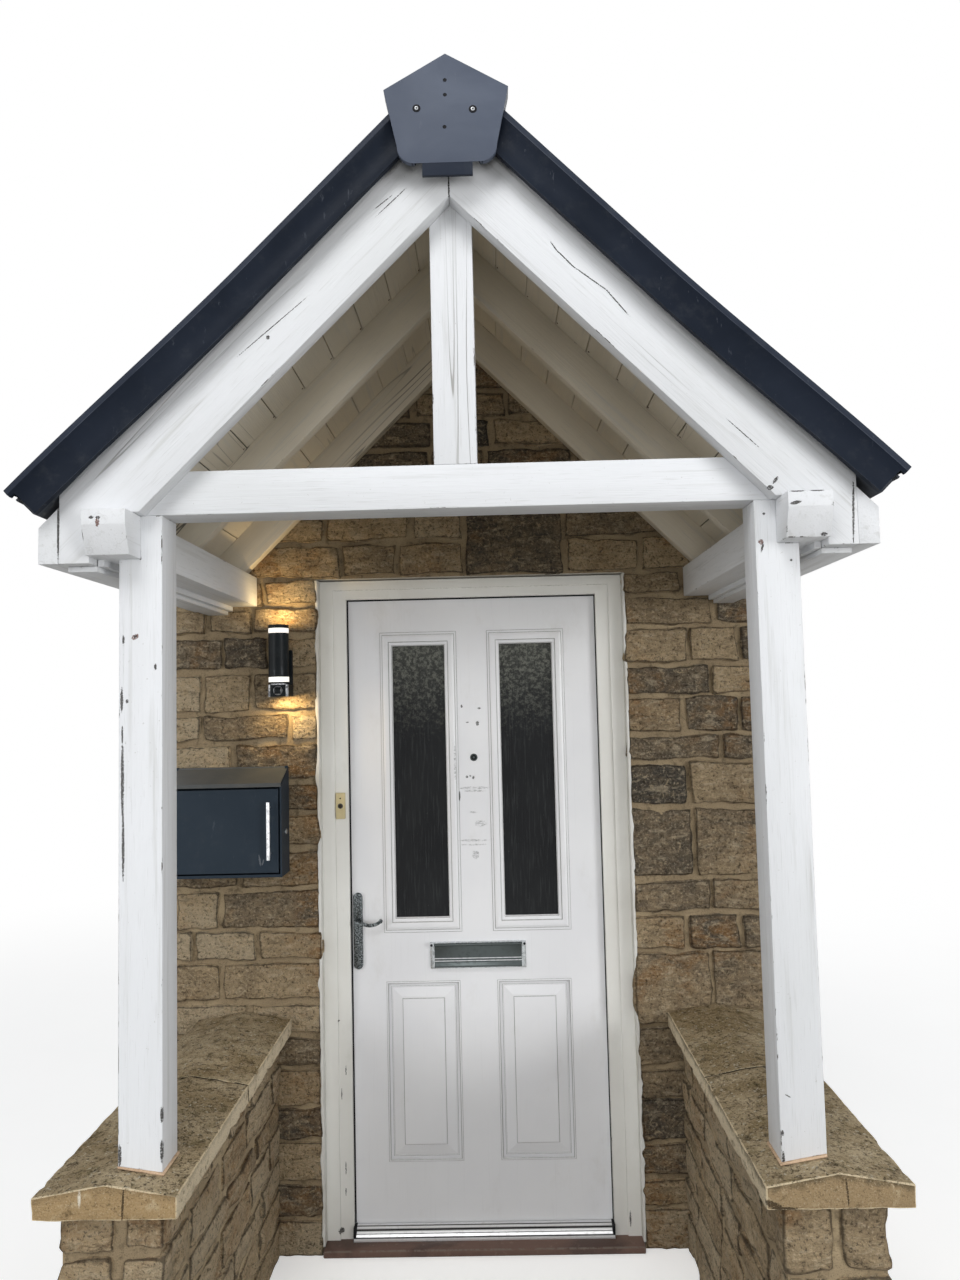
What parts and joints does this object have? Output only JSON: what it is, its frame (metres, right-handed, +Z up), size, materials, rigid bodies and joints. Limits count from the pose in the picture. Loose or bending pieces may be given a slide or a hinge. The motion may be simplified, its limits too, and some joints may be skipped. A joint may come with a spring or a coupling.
{
  "type": "gabled entrance porch with front door",
  "caption": "Gabled entrance porch: coped stone dwarf walls carry a painted timber frame and a steep slated roof over a glazed and panelled front door that opens inward.",
  "frame": {"origin": "on the ground, on the doorway centreline, in the plane of the stone face of the house wall, on the underside of the door step", "axes": "+X across the doorway to the hinge side, +Y into the house, +Z up; the porch stands on the -Y side"},
  "size_m": [1.94, 1.435, 3.1016],
  "materials": {
    "rough_stone": "rough coursed sandstone with wide buff mortar joints",
    "coping_stone": "sawn sandstone, weathered and lichen grey on top",
    "painted_timber": "white gloss paint on softwood, hairline cracks",
    "roof_boards": "pale painted boards, warm grey underneath",
    "slate": "dark riven slate",
    "ridge_concrete": "dark grey ridge tile",
    "mortar": "grey mortar",
    "verge_plastic": "near-black plastic with a dull sheen",
    "frame_paint": "white gloss paint with chips",
    "steel": "satin steel",
    "aluminium": "mill aluminium with scuffs",
    "step_paint": "red-brown masonry paint, damp patches",
    "door_skin": "white woodgrain door skin, semi-gloss",
    "dark_glass": "obscured dark glass",
    "antique_metal": "dark antique silver",
    "chrome": "polished",
    "ivory_plastic": "aged ivory plastic",
    "lamp_black": "satin black powder coat",
    "box_paint": "anthracite powder coat"
  },
  "bodies": {
    "porch": {"dwarf_wall_left": "rough_stone", "dwarf_wall_right": "rough_stone", "coping_front_left": "coping_stone", "coping_front_right": "coping_stone", "coping_rear_left": "coping_stone", "coping_rear_right": "coping_stone", "post_left": "painted_timber", "post_right": "painted_timber", "wall_plate_left": "painted_timber", "wall_plate_right": "painted_timber", "tie_beam": "painted_timber", "king_post": "painted_timber", "front_rafter_left": "painted_timber", "front_rafter_right": "painted_timber", "common_rafters": "painted_timber", "roof_boards_left": "roof_boards", "roof_boards_right": "roof_boards", "slates_left": "slate", "slates_right": "slate", "ridge_tile": "ridge_concrete", "ridge_bedding": "mortar", "ridge_end_cap": "verge_plastic", "verge_left": "verge_plastic", "verge_right": "verge_plastic", "fascias": "painted_timber", "soffit_boards": "painted_timber", "house_wall_left": "rough_stone", "house_wall_right": "rough_stone", "house_wall_over_door": "rough_stone", "door_frame": "frame_paint", "door_hinges": "steel", "threshold": "aluminium", "door_step": "step_paint", "bell_push": "ivory_plastic", "wall_lamp": "lamp_black", "letter_box": "box_paint"},
    "door": {"door_leaf": "door_skin", "leaf_hinges": "steel", "door_glass": "dark_glass", "handle_plates": "antique_metal", "letter_plate": "chrome", "spy_hole": "chrome"},
    "lever": {"lever_handle": "antique_metal"},
    "flap": {"letter_flap": "chrome"},
    "box_lid": {"letter_box_lid": "box_paint"},
    "box_door": {"letter_box_door": "box_paint"}
  },
  "joints": [
    {"name": "front_door", "type": "hinge", "parent": "porch", "child": "door", "pos_m": [0.427, 0.119, 1.06], "axis": [0, 0, -1], "range_deg": [0, 90]},
    {"name": "door_lever", "type": "hinge", "parent": "door", "child": "lever", "pos_m": [-0.389, 0.092, 1.008], "axis": [0, 1, 0], "range_deg": [0, 35], "stiffness_Nm_per_rad": 1.5, "springref_deg": -11.46},
    {"name": "letter_flap", "type": "hinge", "parent": "door", "child": "flap", "pos_m": [0, 0.0575, 0.9295], "axis": [-1, 0, 0], "range_deg": [0, 85]},
    {"name": "letter_box_lid", "type": "hinge", "parent": "porch", "child": "box_lid", "pos_m": [-0.777, -0.014, 1.51802], "axis": [-1, 0, 0], "range_deg": [0, 60]},
    {"name": "letter_box_door", "type": "hinge", "parent": "porch", "child": "box_door", "pos_m": [-0.943, -0.105, 1.32], "axis": [0, 0, -1], "range_deg": [0, 100]}
  ]
}
